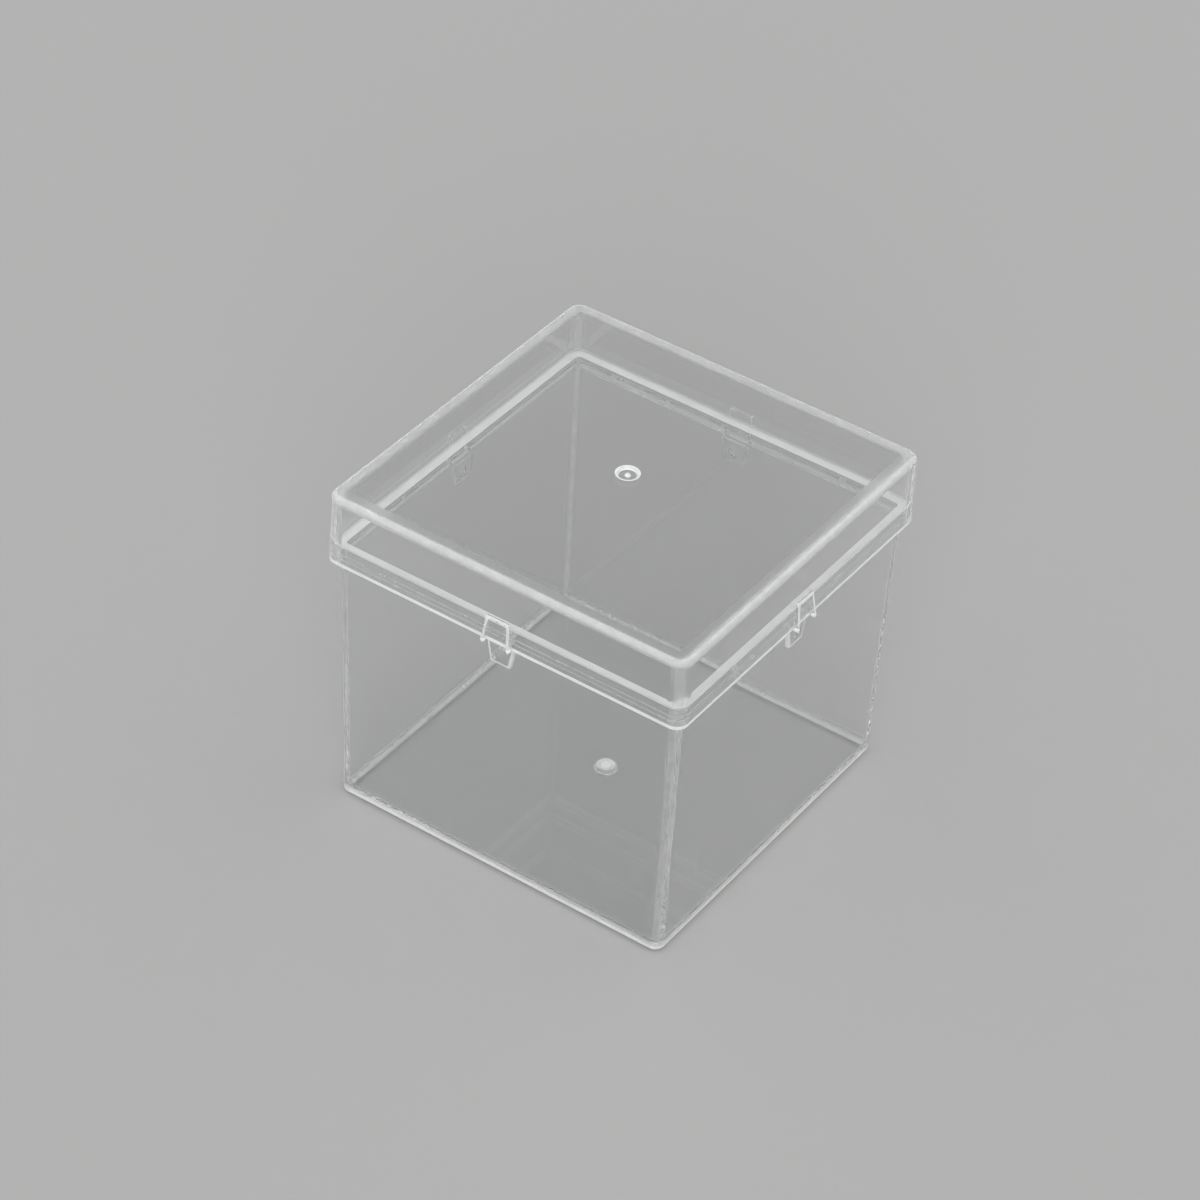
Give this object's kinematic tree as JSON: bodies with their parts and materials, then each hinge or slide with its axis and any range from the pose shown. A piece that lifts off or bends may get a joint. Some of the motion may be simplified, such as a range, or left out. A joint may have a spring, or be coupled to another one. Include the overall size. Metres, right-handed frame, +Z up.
{
  "type": "lidded box",
  "caption": "Clear moulded square box: a deep tapered tray and a deep lift-off lid that overhangs it, with a thumb catch and a stop lug in the middle of each side.",
  "frame": {"origin": "centre of the tray's underside", "axes": "+Z up, the way the lid lifts; +X and +Y square to two neighbouring sides"},
  "size_m": [0.1028, 0.1028, 0.091],
  "materials": {
    "tray_clear": "clear glossy moulded styrene with a satin rim",
    "lid_clear": "clear glossy moulded styrene"
  },
  "bodies": {
    "tray": {"tray": "tray_clear"},
    "lid": {"lid": "lid_clear"}
  },
  "joints": [
    {"name": "lid_lift", "type": "slide", "parent": "tray", "child": "lid", "axis": [0, 0, 1], "range_m": [0, 0.1]}
  ]
}
